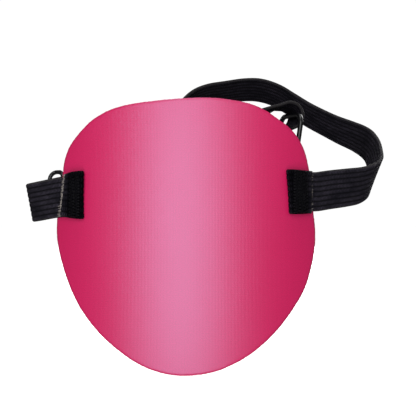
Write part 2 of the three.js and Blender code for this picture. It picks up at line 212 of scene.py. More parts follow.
def foam_mat():
    m, nt, b = new_mat("cut_foam")
    n = N(nt)
    pos = n.put("ShaderNodeTexCoord").outputs["Object"]
    v = n.put("ShaderNodeTexVoronoi")
    nt.links.new(pos, v.inputs["Vector"])
    v.inputs["Scale"].default_value = 3800
    cells = n.noise(pos, 2500, 4.0, 0.6)
    # painted shade: each foam cell is painted darker in its pit and lighter on its walls
    col = n.mix(v.outputs["Distance"], rgb(0.50, 0.26, 0.32), rgb(0.80, 0.56, 0.60))
    nt.links.new(col, b.inputs["Base Color"])
    b.inputs["Roughness"].default_value = 0.95
    b.inputs["Specular IOR Level"].default_value = 0.2
    h = n.math("ADD", v.outputs["Distance"], n.math("MULTIPLY", cells, 0.5))
    nt.links.new(n.bump(h, 0.00015, 0.8), b.inputs["Normal"])
    return m


def lining_mat():
    m, nt, b = new_mat("brushed_lining")
    n = N(nt)
    x, y, _ = n.xyz(n.uv())
    nap = n.noise(n.join(n.math("MULTIPLY", x, 3.0), n.math("MULTIPLY", y, 2.0)), 1.0, 5.0, 0.7)
    big = n.noise(n.join(n.math("MULTIPLY", x, 0.12), n.math("MULTIPLY", y, 0.12)), 1.0, 3.0, 0.5)
    col = n.mix(nap, rgb(0.010, 0.009, 0.012), rgb(0.075, 0.068, 0.084))
    col = n.mix(n.math("MULTIPLY", big, 0.4), col, rgb(0.020, 0.016, 0.024))
    nt.links.new(col, b.inputs["Base Color"])
    b.inputs["Roughness"].default_value = 0.92
    b.inputs["Specular IOR Level"].default_value = 0.25
    b.inputs["Sheen Weight"].default_value = 0.35
    b.inputs["Sheen Roughness"].default_value = 0.5
    b.inputs["Sheen Tint"].default_value = rgb(0.55, 0.52, 0.62)
    nt.links.new(n.bump(nap, 0.00020, 1.0), b.inputs["Normal"])
    return m


def elastic_mat():
    m, nt, b = new_mat("ribbed_elastic")
    n = N(nt)
    u, v, _ = n.xyz(n.uv())
    pitch = STRAP_W / 8
    # v = 0 on the centre line; ribs sit at multiples of the pitch
    ph = n.math("DIVIDE", n.math("ADD", v, STRAP_W / 2), pitch)
    fr = n.math("ABSOLUTE", n.math("SUBTRACT", n.math("FRACT", ph), 0.5))             # 0 on a rib's crest, 0.5 in a groove
    rib = n.math("SUBTRACT", 1.0, n.math("POWER", n.math("MULTIPLY", fr, 2.0), 3.0))
    # knit courses across each rib, bent into small chevrons
    c = n.math("ADD", n.math("DIVIDE", u, 0.62), n.math("MULTIPLY", fr, 1.3))
    course = n.math("MULTIPLY", n.math("ADD", n.math("SINE", n.math("MULTIPLY", c, 2 * math.pi)), 1.0), 0.5)
    fine = n.math("MULTIPLY", n.math("ADD", n.math("SINE", n.math("MULTIPLY", u, 2 * math.pi / 0.31)), 1.0), 0.5)
    yarn = n.noise(n.join(n.math("MULTIPLY", u, 1.4), n.math("MULTIPLY", v, 5.0)), 1.0, 4.0, 0.65)
    wear = n.noise(n.join(n.math("MULTIPLY", u, 0.10), n.math("MULTIPLY", v, 0.25)), 1.0, 3.0, 0.5)
    # painted highlights: the crown of each stitch along each rib is painted as a small light dot
    stitch_glint_dots = n.math("MULTIPLY", n.math("POWER", course, 2.2), n.math("POWER", rib, 2.0))
    vary = n.noise(n.join(n.math("MULTIPLY", u, 0.55), n.math("MULTIPLY", v, 0.9)), 1.0, 3.0, 0.6)
    k = n.math("MULTIPLY", stitch_glint_dots, n.math("MULTIPLY_ADD", vary, 2.6, -0.45), clamp=True)
    # painted highlight: each rib's crest is painted lighter than its grooves
    rib_crest_highlight = n.math("MULTIPLY", rib, 0.10)
    col = n.mix(n.math("ADD", n.math("MULTIPLY", k, 0.75), rib_crest_highlight, clamp=True), rgb(0.0003, 0.0003, 0.0006), rgb(0.092, 0.080, 0.118))
    col = n.mix(n.math("MULTIPLY", n.math("SUBTRACT", yarn, 0.52, clamp=True), 2.2), col, rgb(0.055, 0.044, 0.056))
    col = n.mix(n.math("MULTIPLY", n.math("SUBTRACT", wear, 0.38, clamp=True), 2.6, clamp=True), col, rgb(0.003, 0.003, 0.006))
    # painted highlight: a light grey band is painted along each edge of the strap
    edge = n.math("GREATER_THAN", n.math("ABSOLUTE", v), STRAP_W / 2 - 0.42)
    col = n.mix(n.math("MULTIPLY", edge, 0.42), col, rgb(0.072, 0.066, 0.068))
    # painted shade under the bar tack: the doubled end, pressed flat by the stitching, is painted near black there and
    # its shine is lowered
    pressed_tack_shade = n.math("SUBTRACT", 1.0, n.math("DIVIDE", n.math("SUBTRACT", u, 7.5), 3.0, clamp=True), clamp=True)
    pressed_tack_shade = n.math("MULTIPLY", pressed_tack_shade, n.math("DIVIDE", u, 2.5, clamp=True))
    col = n.mix(n.math("MULTIPLY", pressed_tack_shade, 0.90), col, rgb(0.0004, 0.0004, 0.0008))
    spec = n.math("SUBTRACT", 0.11, n.math("MULTIPLY", pressed_tack_shade, 0.09))
    nt.links.new(spec, b.inputs["Specular IOR Level"])
    nt.links.new(col, b.inputs["Base Color"])
    nt.links.new(n.math("SUBTRACT", 0.80, n.math("MULTIPLY", k, 0.20)), b.inputs["Roughness"])
    b.inputs["Sheen Weight"].default_value = 0.012
    b.inputs["Sheen Roughness"].default_value = 0.4
    b.inputs["Sheen Tint"].default_value = rgb(0.62, 0.58, 0.72)
    h = n.math("ADD", n.math("MULTIPLY", course, n.math("MULTIPLY", rib, 0.75)), n.math("MULTIPLY", yarn, 0.45))
    h = n.math("ADD", h, n.math("MULTIPLY", fine, 0.12))
    nt.links.new(n.bump(h, 0.00018, 0.9), b.inputs["Normal"])
    return m


def thread_mat(name, dark, light):
    m, nt, b = new_mat(name)
    n = N(nt)
    u, v, _ = n.xyz(n.uv())
    # two plies twisted round each other, 0.7 mm lay
    tw = n.math("SINE", n.math("ADD", n.math("MULTIPLY", u, 2 * math.pi / 0.7), n.math("MULTIPLY", v, 2.0)))
    tw = n.math("MULTIPLY", n.math("ADD", tw, 1.0), 0.5)
    # painted shade and highlight: the thread is painted darker along the groove between its plies and lighter on their
    # crowns
    col = n.mix(tw, dark, light)
    nt.links.new(col, b.inputs["Base Color"])
    b.inputs["Roughness"].default_value = 0.45
    b.inputs["Specular IOR Level"].default_value = 0.08
    b.inputs["Sheen Weight"].default_value = 0.02
    nt.links.new(n.bump(tw, 0.00006, 0.8), b.inputs["Normal"])
    return m


def plastic_mat():
    m, nt, b = new_mat("moulded_black_plastic")
    n = N(nt)
    pos = n.put("ShaderNodeTexCoord").outputs["Object"]
    spot = n.noise(pos, 900, 3.0, 0.5)
    scuff = n.noise(pos, 5200, 4.0, 0.7)
    col = n.mix(spot, rgb(0.003, 0.003, 0.004), rgb(0.008, 0.008, 0.010))
    nt.links.new(col, b.inputs["Base Color"])
    nt.links.new(n.math("ADD", 0.20, n.math("MULTIPLY", scuff, 0.22)), b.inputs["Roughness"])
    b.inputs["Specular IOR Level"].default_value = 0.6
    nt.links.new(n.bump(scuff, 0.00002, 0.5), b.inputs["Normal"])
    return m


def fray_mat():
    m, nt, b = new_mat("cut_rubber_core_ends")
    n = N(nt)
    pos = n.put("ShaderNodeTexCoord").outputs["Object"]
    f = n.noise(pos, 2600, 3.0, 0.6)
    nt.links.new(n.mix(f, rgb(0.10, 0.085, 0.080), rgb(0.46, 0.41, 0.38)), b.inputs["Base Color"])
    b.inputs["Roughness"].default_value = 0.7
    return m


PINK, FOAM, LINING, ELASTIC = pink_fabric(), foam_mat(), lining_mat(), elastic_mat()
THREAD = thread_mat("satin_thread", rgb(0.0004, 0.0004, 0.0008), rgb(0.0036, 0.0033, 0.0058))
PLASTIC, FRAY = plastic_mat(), fray_mat()


# ------------------------------------------------------------------ mesh helpers
def mesh_obj(name, verts, faces, mats, uv=None, mat_index=None, smooth=True):
    """verts in mm; uv is one (u, v) per vertex, in mm, or one per face corner."""
    me = bpy.data.meshes.new(name)
    me.from_pydata((np.asarray(verts, float) * MM).tolist(), [], faces)
    me.update()
    if uv is not None:
        layer = me.uv_layers.new(name="uv_mm")
        idx = np.empty(len(me.loops), int)
        me.loops.foreach_get("vertex_index", idx)
        data = np.asarray(uv, float)
        if len(data) != len(me.loops) or len(data) == len(verts):
            data = data[idx]
        layer.data.foreach_set("uv", data.astype(np.float32).ravel())
    for m in mats if isinstance(mats, (list, tuple)) else [mats]:
        me.materials.append(m)
    if mat_index is not None:
        me.polygons.foreach_set("material_index", np.asarray(mat_index, np.int32))
    me.polygons.foreach_set("use_smooth", np.full(len(me.polygons), smooth))
    me.validate()
    o = bpy.data.objects.new(name, me)
    bpy.context.scene.collection.objects.link(o)
    return o


def sag(x, z):
    return R_SIDE - np.sqrt(R_SIDE ** 2 - x * x) + z * z / (2 * R_TALL)


def on_patch(x, z, depth):
    """Point on the moulded surface, depth mm inwards from the outer face."""
    x, z = np.asarray(x, float), np.asarray(z, float)
    dx, dz = x / np.sqrt(R_SIDE ** 2 - x * x), z / R_TALL
    n = np.stack([-dx, np.ones_like(dx), -dz], -1)
    n /= np.linalg.norm(n, axis=-1, keepdims=True)
    p = np.stack([x, APEX_Y + sag(x, z), z], -1)
    return p + n * np.asarray(depth, float)[..., None]


def patch_normal(x, z):
    n = A(-x / math.sqrt(R_SIDE ** 2 - x * x), 1, -z / R_TALL)
    return unit(n)


def closed_spline(pts, count):
    """Periodic Catmull-Rom through pts, resampled to equal steps."""
    p = np.array(pts, float)
    n = len(p)
    out = []
    for i in range(n):
        a, b, c, d = p[(i - 1) % n], p[i], p[(i + 1) % n], p[(i + 2) % n]
        for t in np.linspace(0, 1, 24, endpoint=False):
            out.append(0.5 * (2 * b + (c - a) * t + (2 * a - 5 * b + 4 * c - d) * t ** 2 + (3 * b - a - 3 * c + d) * t ** 3))
    out = np.array(out + [out[0]])
    s = np.concatenate([[0], np.cumsum(np.linalg.norm(np.diff(out, axis=0), axis=1))])
    t = np.linspace(0, s[-1], count, endpoint=False)
    return np.stack([np.interp(t, s, out[:, k]) for k in range(2)], 1), s[-1]


EDGE_N = 640
edge, edge_len = closed_spline(OUTLINE, EDGE_N)
# soften small corners of the outline
for _ in range(6):
    edge = 0.5 * edge + 0.25 * (np.roll(edge, 1, 0) + np.roll(edge, -1, 0))


def ring_noise(seed, amp, terms):
    r = random.Random(seed)
    t = np.arange(EDGE_N) * 2 * math.pi / EDGE_N
    out = np.zeros(EDGE_N)
    for k in terms:
        out += math.cos(0) * np.sin(k * t + r.uniform(0, 6.28)) * r.uniform(0.5, 1.0)
    return out * amp / max(len(terms), 1) ** 0.5


def shell(name, d0, d1, mats, seed, rings=46, edge_round=0.22, ragged=0.05, puff=0.0):
    """One laminated layer between two depths, with a cut edge square to the surface."""
    wob = ring_noise(seed, ragged, [47, 83, 131, 173, 211, 257, 293])
    radial = edge / np.linalg.norm(edge, axis=1, keepdims=True)
    rim = edge + radial * wob[:, None]
    rr = 1 - (1 - np.linspace(0, 1, rings + 1)[1:]) ** 1.25
    verts, uv = [], []
    mean = (d0 + d1) / 2
    sides = []
    for d, sgn in ((d0, 1), (d1, -1)):
        start = len(verts)
        c = on_patch(0.0, 0.0, d)
        verts.append(c)
        uv.append((0.0, 0.0))
        rows = list(rr)
        for r in rows:
            # the last stretch rounds over the cut edge
            dist = (1 - r) * 37.0
            k = max(0.0, 1 - dist / edge_round) if edge_round > 0 else 0.0
            dd = d + sgn * edge_round * (1 - math.sqrt(max(0.0, 1 - k * k))) * 0.8
            x, z = rim[:, 0] * r, rim[:, 1] * r
            dist_edge = dist
            swell = puff * (1 - math.exp(-dist_edge / 2.5))
            verts.extend(on_patch(x, z, np.full(EDGE_N, dd - swell * sgn)))
            uv.extend(np.stack([R_SIDE * np.arcsin(x / R_SIDE), z], 1).tolist())
        sides.append(start)
    faces, mi = [], []
    n = EDGE_N
    for side, s in enumerate(sides):
        def put(*f):
            faces.append(tuple(f) if side == 0 else tuple(reversed(f)))
            mi.append(0)
        for i in range(n):
            put(s, s + 1 + i, s + 1 + (i + 1) % n)
        for r in range(1, rings):
            p0, p1 = s + 1 + (r - 1) * n, s + 1 + r * n
            for i in range(n):
                j = (i + 1) % n
                put(p0 + i, p1 + i, p1 + j, p0 + j)
    ra, rb = sides[0] + 1 + (rings - 1) * n, sides[1] + 1 + (rings - 1) * n
    for i in range(n):
        j = (i + 1) % n
        faces.append((ra + i, rb + i, rb + j, ra + j))
        mi.append(len(mats) - 1)
    o = mesh_obj(name, verts, faces, mats, uv, mi)
    return o


def catmull(stations, n):
    out = []
    last = len(stations) - 1
    for i in range(last):
        p = [stations[k] for k in (max(i - 1, 0), i, i + 1, min(i + 2, last))]
        for s in range(n):
            t = s / n
            out.append(tuple(
                0.5 * (2 * p[1][h] + (p[2][h] - p[0][h]) * t + (2 * p[0][h] - 5 * p[1][h] + 4 * p[2][h] - p[3][h]) * t ** 2
                       + (3 * p[1][h] - p[0][h] - 3 * p[2][h] + p[3][h]) * t ** 3) for h in (0, 1)))
    out.append(stations[last])
    return out


def resample(path, step, relax=0):
    """Equal steps along a path of (centre, across)."""
    c = np.array([p[0] for p in path])
    w = np.array([unit(np.array(p[1])) for p in path])
    s = np.concatenate([[0], np.cumsum(np.linalg.norm(np.diff(c, axis=0), axis=1))])
    n = max(2, int(round(s[-1] / step)))
    t = np.linspace(0, s[-1], n + 1)
    C = np.stack([np.interp(t, s, c[:, k]) for k in range(3)], 1)
    Wd = np.stack([np.interp(t, s, w[:, k]) for k in range(3)], 1)
    for _ in range(relax):
        C[1:-1] = 0.5 * C[1:-1] + 0.25 * (C[:-2] + C[2:])
        Wd[1:-1] = 0.5 * Wd[1:-1] + 0.25 * (Wd[:-2] + Wd[2:])
    T = np.gradient(C, axis=0)
    T /= np.linalg.norm(T, axis=1, keepdims=True)
    Wd -= T * np.sum(Wd * T, 1, keepdims=True)
    Wd /= np.linalg.norm(Wd, axis=1, keepdims=True)
    M = np.cross(T, Wd)
    return C, Wd, M, T, t


RIBS = 8
PER = 7


def rib_section():
    """Across positions v (mm) and half thickness h, for one face of the elastic."""
    v = np.linspace(-STRAP_W / 2, STRAP_W / 2, RIBS * PER + 1)
    ph = (v + STRAP_W / 2) / (STRAP_W / RIBS)
    fr = np.abs(ph - np.floor(ph) - 0.5) * 2                      # 0 crest, 1 groove
    h = STRAP_T / 2 * (1.0 - 0.26 * fr ** 2.6)
    edge_d = STRAP_W / 2 - np.abs(v)
    h *= np.sqrt(np.clip(edge_d / 0.35, 0.10, 1.0))
    return v, h


def strap(name, path, step=0.5, width=None, thick=None, shear=None, skew=None, relax=2, sway=0.0, seed=1):
    """Ribbed elastic along a path of stations; width and thick are functions of the distance along it, in mm."""
    C, Wd, M, T, t = resample(path, step, relax)
    v, h = rib_section()
    k = len(v)
    L = t[-1]
    r = random.Random(seed)
    a1, a2 = r.uniform(0, 6.28), r.uniform(0, 6.28)
    verts, uv = [], []
    for i in range(len(C)):
        s = t[i]
        kw = (width(s) if width else STRAP_W) / STRAP_W
        kt = (thick(s) if thick else 1.0)
        sh = shear(s) if shear else 0.0
        bow = sway * math.sin(s / 5.3 + a1) + 0.6 * sway * math.sin(s / 2.1 + a2)
        for sgn in (1, -1):
            vv = v if sgn == 1 else v[::-1]
            hh = h if sgn == 1 else h[::-1]
            p = C[i] + np.outer(vv * kw, Wd[i]) + np.outer(sgn * hh * kt, M[i]) + np.outer(sh * vv, T[i])
            p += bow * (vv / STRAP_W * 2)[:, None] ** 2 * M[i]
            if skew:
                p[:, 0] += skew(s) * vv
            verts.extend(p)
            uv.extend(np.stack([np.full(k, s), vv], 1).tolist())
    n2 = 2 * k
    faces = []
    for i in range(len(C) - 1):
        for j in range(n2):
            a, b = i * n2 + j, i * n2 + (j + 1) % n2
            faces.append((a, b, b + n2, a + n2))
    e = (len(C) - 1) * n2
    # caps, as strips between the two faces
    for j in range(k - 1):
        a, b, c, d = j, j + 1, n2 - 2 - j, n2 - 1 - j
        faces.append((a, d, c, b))
        faces.append((e + a, e + b, e + c, e + d))
    o = mesh_obj(name, verts, faces, ELASTIC, uv)
    me = o.data
    me.update()
    vol = 0.0
    vs = np.array(verts)
    for f in faces[: 4 * n2: 1]:
        pass
    return o, (C, Wd, M, T, t)


def tube_data(points, radius, sides, closed=False, u0=0.0):
    P = np.array(points, float)
    n = len(P)
    verts, uv, faces = [], [], []
    side = None
    s = u0
    rad = radius if callable(radius) else (lambda i: radius)
    for i in range(n):
        prev = P[(i - 1) % n] if closed else P[max(i - 1, 0)]
        nxt = P[(i + 1) % n] if closed else P[min(i + 1, n - 1)]
        t = unit(nxt - prev)
        if side is None:
            side = A(1, 0, 0) if abs(t[2]) > 0.7 else A(0, 0, 1)
        side = unit(side - t * side.dot(t))
        other = np.cross(t, side)
        if i:
            s += np.linalg.norm(P[i] - P[i - 1])
        for k in range(sides):
            a = 2 * math.pi * k / sides
            verts.append(P[i] + rad(i) * (math.cos(a) * side + math.sin(a) * other))
            uv.append((s, a))
    spans = n if closed else n - 1
    for i in range(spans):
        j = (i + 1) % n
        for k in range(sides):
            q = (k + 1) % sides
            faces.append((i * sides + k, i * sides + q, j * sides + q, j * sides + k))
    if not closed:
        faces.append(tuple(range(sides - 1, -1, -1)))
        faces.append(tuple((n - 1) * sides + k for k in range(sides)))
    return verts, faces, uv


def tubes(name, lists, mat, sides=8):
    """Several tubes in one object: lists of (points, radius)."""
    verts, faces, uv = [], [], []
    for pts, rad in lists:
        v, f, q = tube_data(pts, rad, sides)
        o = len(verts)
        verts += v
        uv += q
        faces += [tuple(i + o for i in face) for face in f]
    return mesh_obj(name, verts, faces, mat, uv)


def fix_normals(o):
    import bmesh
    bm = bmesh.new()
    bm.from_mesh(o.data)
    bmesh.ops.recalc_face_normals(bm, faces=bm.faces)
    bm.to_mesh(o.data)
    bm.free()
    o.data.update()


# ------------------------------------------------------------------ moulded patch
cover = shell("outer_cover_fabric", 0.0, COVER_T, [PINK], 3, rings=60, edge_round=0.45, ragged=0.045)
foam = shell("foam_core_pad", COVER_T + 0.01, COVER_T + FOAM_T - 0.01, [FOAM], 5, rings=30, edge_round=0.0, ragged=0.10)
lining = shell("inner_lining_fabric", COVER_T + FOAM_T, COVER_T + FOAM_T + LINING_T, [LINING], 7, rings=40, edge_round=0.3, ragged=0.06)
for o, node, slot in ((cover, "outer_cover", "pink_fabric"), (foam, "foam_core", "foam"), (lining, "inner_lining", "lining")):
    fix_normals(o)
    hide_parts(node)
    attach(o, "patch")

# ------------------------------------------------------------------ straps
LOW = -(STRAP_T / 2 + 0.02)             # centre of the strap that lies on the patch
HIGH = LOW - (STRAP_T + 0.03)           # centre of the end folded over it


def folded_end(side, x_out, x_fold, x_cut, z_cut, z_fold, z_out):
    """From the cut end, round the fold, and out along the patch to its edge."""
    st = []

    def at(x, z, d):
        return (on_patch(side * x, z, d), A(0, 0, 1))
    r = (LOW - HIGH) / 2
    mid = (LOW + HIGH) / 2
    turn = x_fold + r + STRAP_T / 2
    for f in np.linspace(0, 1, 5):
        st.append(at(x_cut + (turn - x_cut) * f, z_cut + (z_fold - z_cut) * f, HIGH))
    c, n = on_patch(side * turn, z_fold, mid), patch_normal(side * turn, z_fold)
    inward = unit(np.cross(A(0, 0, 1), n)) * side
    if inward[0] * side > 0:
        inward = -inward
    for deg in (60, 30, 0, -30, -60):
        a = math.radians(deg)
        st.append((c + inward * r * math.cos(a) - n * r * math.sin(a), A(0, 0, 1)))
    for f in np.linspace(0, 1, 5):
        st.append(at(turn + (x_out - turn) * f, z_fold + (z_out - z_fold) * f, LOW))
    return st


RIGHT = [
    ((38.6, 1.3, 12.8), (0, 0, 1)), ((42.3, 5.0, 13.4), (0, -0.02, 1)), ((47.8, 10.0, 14.1), (0.02, -0.12, 0.99)),
    ((52.2, 15.0, 14.8), (0.05, -0.28, 0.96)), ((55.9, 20.5, 16.3), (0.17, -0.37, 0.91)), ((58.2, 28.0, 18.7), (0.31, -0.45, 0.84)),
    ((59.1, 37.0, 22.4), (0.26, -0.60, 0.76)), ((59.1, 47.0, 26.2), (0.20, -0.67, 0.71)), ((57.8, 56.0, 29.2), (0.12, -0.70, 0.71)),
    ((54.5, 63.5, 31.7), (0.10, -0.74, 0.67)), ((48.6, 70.5, 34.9), (0.11, -0.76, 0.64)), ((41.2, 76.0, 39.3), (0.13, -0.79, 0.60)),
    ((35.6, 79.5, 43.0), (0.14, -0.79, 0.60)), ((30.2, 81.5, 46.5), (0.13, -0.79, 0.60)), ((24.4, 82.0, 48.4), (0.07, -0.78, 0.62)),
    ((18.7, 81.0, 48.6), (0.03, -0.79, 0.61)), ((12.0, 79.0, 47.6), (0.02, -0.81, 0.59)), ((4.9, 76.0, 46.2), (0.06, -0.81, 0.58)),
    ((-0.8, 72.5, 43.2), (0.10, -0.84, 0.53)), ((-6.6, 68.5, 37.0), (0.16, -0.91, 0.38)), ((-11.0, 65.5, 28.5), (0.12, -0.97, 0.20)),
    ((-13.0, 63.0, 19.5), (0, -1, 0.05)), ((-10.6, 59.5, 10.5), (0, -1, 0)), ((-3.5, 55.0, 5.2), (0.05, -1, 0)),
    ((5.0, 50.2, 6.0), (0.15, -0.99, 0)), ((12.5, 47.0, 10.6), (0.28, -0.96, 0))]
low = A(*RING_LOW)
bar_dir = unit(A(*RING_BAR))
pull = A(-0.85, 0, -0.53)
pull = unit(pull - bar_dir * pull.dot(bar_dir))
across = np.cross(bar_dir, pull)


def at_ring(q, m):
    return (low + pull * q + across * m, -bar_dir)


loop_r = RING_R + GAP * 0.6 + STRAP_T / 2
ring_loop = [at_ring(14.5, -0.60), at_ring(9, -0.55), at_ring(5.6, -0.62), at_ring(2.2, -1.25)]
for deg in range(-90, 91, 15):
    a = math.radians(deg)
    ring_loop.append(at_ring(-loop_r * math.cos(a), loop_r * math.sin(a)))
ring_loop += [at_ring(2.2, 1.25), at_ring(5.6, 0.60), at_ring(9.5, 0.55)]


def end_width(cut, fold):
    """The sewn end spreads under its bar tack: its width at the cut, at the fold, and back to the strap's own."""
    def width(s):
        if s < 7.0:
            return cut + (fold - cut) * math.sin(s / 7.0 * math.pi / 2)
        if s < 16.0:
            return fold + (STRAP_W - fold) * (0.5 - 0.5 * math.cos((s - 7.0) / 9.0 * math.pi))
        return STRAP_W
    return width


def end_thick(s):
    return 0.86 + 0.14 * min(1.0, max(0.0, (s - 12) / 4)) if s > 1.0 else 0.86 - 0.25 * (1 - s)


right_path = folded_end(1, 37.0, 28.4, 35.5, 12.5, 12.6, 12.7) + catmull([(A(*c), A(*w)) for c, w in RIGHT], 8) + ring_loop
right_strap, right_frames = strap("right_strap_webbing", right_path, width=end_width(12.3, 12.9), skew=lambda s: -0.075 * max(0.0, 1 - max(0.0, s - 8.0) / 6.0) * min(1.0, s / 3.0), thick=end_thick, sway=0.05, seed=4)
fix_normals(right_strap)
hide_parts("right_strap", "right_strap_end")

d0 = unit(A(*RUN))
w0 = unit(A(*W0) - d0 * A(*W0).dot(d0))
front = unit(np.cross(d0, w0))


def along(t):
    return A(*RUN_START) + d0 * t


def beside(t, m):
    return (along(t) + front * m, w0)


def curl_tilt(deg):
    return 0.18 * max(0.0, math.sin(math.radians(deg)))


def curl_at(deg):
    a = math.radians(deg)
    c = CURL[3] * math.cos(a)
    return A(CURL[0] + c * RING_BAR[1], CURL[1] - c * RING_BAR[0], CURL[2] + CURL[3] * math.sin(a) - curl_tilt(deg) * STRAP_W / 2)


def curl_across(deg):
    return A(-RING_BAR[0], -RING_BAR[1], curl_tilt(deg))


LEFT = [((-39.0, 1.2, 10.7), (0.04, 0, 1)), ((-41.4, 3.7, 10.3), (0.02, 0, 1)), ((-44.9, 8.0, 9.75), (-0.08, -0.03, 1)),
        ((-46.9, 12.6, 9.55), (-0.17, -0.07, 0.98)), ((-46.4, 16.3, 9.9), (-0.19, -0.1, 0.98)),
        (tuple(along(0)), tuple(w0)), (tuple(along(4)), tuple(w0))]
left_path = folded_end(-1, 37.3, 28.6, 34.9, 11.6, 11.7, 10.9) + catmull([(A(*c), A(*w)) for c, w in LEFT], 8)
for t in (12, 22, 32, 38):
    left_path.append((along(t), w0))
p38, c120 = along(38), curl_at(120)
left_path_b = [(along(32), w0), (p38, w0)]
for u, w, lift in ((0.2, (-0.1, -0.25, 0.96), 0), (0.4, (-0.05, -0.55, 0.83), 0), (0.6, (0, -0.83, 0.55), 0.2), (0.8, (0.1, -0.95, 0.32), 0.7)):
    left_path_b.append((p38 + (c120 - p38) * u + A(0, 0, lift), A(*w)))
for deg in (120, 105, 90, 75):
    left_path_b.append((curl_at(deg), curl_across(deg)))
left_path += catmull(left_path_b, 6)[12:]
for deg in np.linspace(70, -67, 29):
    left_path.append((curl_at(deg), curl_across(deg)))
left_strap, left_frames = strap("left_strap_webbing", left_path, width=end_width(12.2, 13.9), thick=end_thick, sway=0.05, seed=9,
                                shear=lambda s: 0.17 * max(0.0, 1 - s / 3.0))
fix_normals(left_strap)
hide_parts("left_strap", "left_strap_end")

layer = STRAP_T + GAP
bar_at = layer + STRAP_T / 2 + GAP + BAR_R
outer_layer = bar_at + BAR_R + GAP + STRAP_T / 2
RETURN = [((28.7, 51.1, 32.4), (0.28, -0.96, 0)), ((24.6, 49.8, 30.4), (0.12, -0.99, 0.02)), ((19.5, 48.0, 27.6), (0, -1, 0.08)),
          ((12.7, 44.8, 24.5), (0, -0.93, 0.37)), ((5.0, 40.6, 21.9), (0, -0.7, 0.71)), ((-3.0, 37.0, 20.0), (-0.08, -0.38, 0.92))]
ret = [(curl_at(-67), curl_across(-67)), (curl_at(-67) + A(-0.858, -0.331, -0.391) * 1.2, curl_across(-67))]
ret += catmull([(A(*c), A(*w)) for c, w in RETURN] + [beside(36, outer_layer), beside(30, outer_layer)], 8)
ret += [beside(t, outer_layer) for t in (24, 18, SLIDER_AT + 8, SLIDER_AT + 4, SLIDER_AT)]
for deg in range(75, -76, -15):
    a = math.radians(deg)
    r = outer_layer - bar_at
    ret.append((along(SLIDER_AT - r * math.cos(a)) + front * (bar_at + r * math.sin(a)), w0))
ret += [beside(SLIDER_AT, layer - 0.02), beside(SLIDER_AT + 4, layer), beside(SLIDER_AT + 9.5, layer)]
return_strap, ret_frames = strap("return_strap_webbing", ret, sway=0.03, seed=15)
fix_normals(return_strap)
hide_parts("return_strap", "slider_end_loop")


# ------------------------------------------------------------------ cut ends: a pale line of severed rubber and yarn
def fray(name, frames, at_start, shear_k, body, width, count=70, seed=3, size=1.0):
    C, Wd, M, T, t = frames
    i = 0 if at_start else len(C) - 1
    out = -T[i] if at_start else T[i]
    face = M[i] if M[i][1] < 0 else -M[i]
    r = random.Random(seed)
    items = []
    for k in range(count):
        v = (k + r.uniform(-0.4, 0.4)) / (count - 1) * width - width / 2
        lift = r.uniform(-0.30, 0.38)
        base = C[i] + Wd[i] * v + T[i] * shear_k * v + face * lift - out * 0.25
        L = size * (r.uniform(0.30, 0.60) if r.random() < 0.85 else r.uniform(0.7, 1.1))
        bend = Wd[i] * r.uniform(-0.5, 0.5) + face * r.uniform(-0.15, 0.45)
        pts = [base, base + out * L * 0.5 + bend * L * 0.2, base + out * L * 0.9 + bend * L * 0.6]
        items.append((pts, size * r.uniform(0.06, 0.11)))
    o = tubes(name, items, FRAY, 6)
    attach(o, body)
    return o


fray("left_cut_end_yarns", left_frames, True, 0.17, "patch", 12.1, 190, 5, 1.25)
fray("right_cut_end_yarns", right_frames, True, 0.0, "patch", 12.0, 110, 6, 0.55)
fray("ring_end_cut_yarns", right_frames, False, 0.0, "strap_loop", 11.2, 60, 7, 0.7)
fray("slider_end_cut_yarns", ret_frames, False, 0.0, "adjuster", 11.2, 60, 8, 0.7)


# ------------------------------------------------------------------ bar tacks
def patch_tack(name, side, cols, z_mid, half, node):
    """Close zigzag rows of satin thread that dip into the strap at each turn."""
    items = []
    top = HIGH - STRAP_T / 2 * 0.86
    r = random.Random(int(side * 10) + 31)
    for xa, xb, pitch, ph in cols:
        n = int(2 * half / pitch)
        pts = []
        for i in range(n + 1):
            z = z_mid - half + i * pitch + r.uniform(-0.05, 0.05)
            x = (xa if (i + ph) % 2 == 0 else xb) + r.uniform(-0.08, 0.08)
            zn = z_mid - half + (i + 1) * pitch
            xn = xb if (i + ph) % 2 == 0 else xa
            for f in (0.0, 0.15, 0.5, 0.85):
                lift = math.sin(math.pi * f) ** 0.5 if f > 0 else 0.0
                pts.append(on_patch(side * (x + (xn - x) * f), z + (zn - z) * f, top + 0.16 - 0.30 * lift))
        items.append((pts, 0.21))
    o = tubes(name, items, THREAD, 8)
    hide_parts(node)
    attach(o, "patch")
    return o


patch_tack("right_bar_tack_thread", 1, [(29.9, 31.7, 0.42, 0), (31.3, 33.1, 0.45, 1), (32.6, 34.0, 0.50, 0)], 12.5, 5.9, "right_end_bar_tack")
patch_tack("left_bar_tack_thread", -1, [(29.7, 31.3, 0.42, 1), (31.0, 32.7, 0.45, 0)], 11.6, 6.2, "left_end_bar_tack")


def flat_tack(name, origin, along_dir, across_dir, up_dir, q0, q1, half, node, body, n=22):
    items = []
    for k, (a, b) in enumerate(((q0, q0 + (q1 - q0) * 0.55), (q0 + (q1 - q0) * 0.45, q1))):
        pts = []
        for i in range(n + 1):
            q, qn = (a, b) if (i + k) % 2 == 0 else (b, a)
            v, vn = -half + 2 * half * i / n, -half + 2 * half * (i + 1) / n
            for f in (0.0, 0.15, 0.5, 0.85):
                lift = math.sin(math.pi * f) ** 0.5 if f > 0 else 0.0
                pts.append(origin + along_dir * (q + (qn - q) * f) + across_dir * (v + (vn - v) * f) + up_dir * (-0.14 + 0.28 * lift))
        items.append((pts, 0.2))
    o = tubes(name, items, THREAD, 8)
    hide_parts(node)
    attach(o, body)
    return o


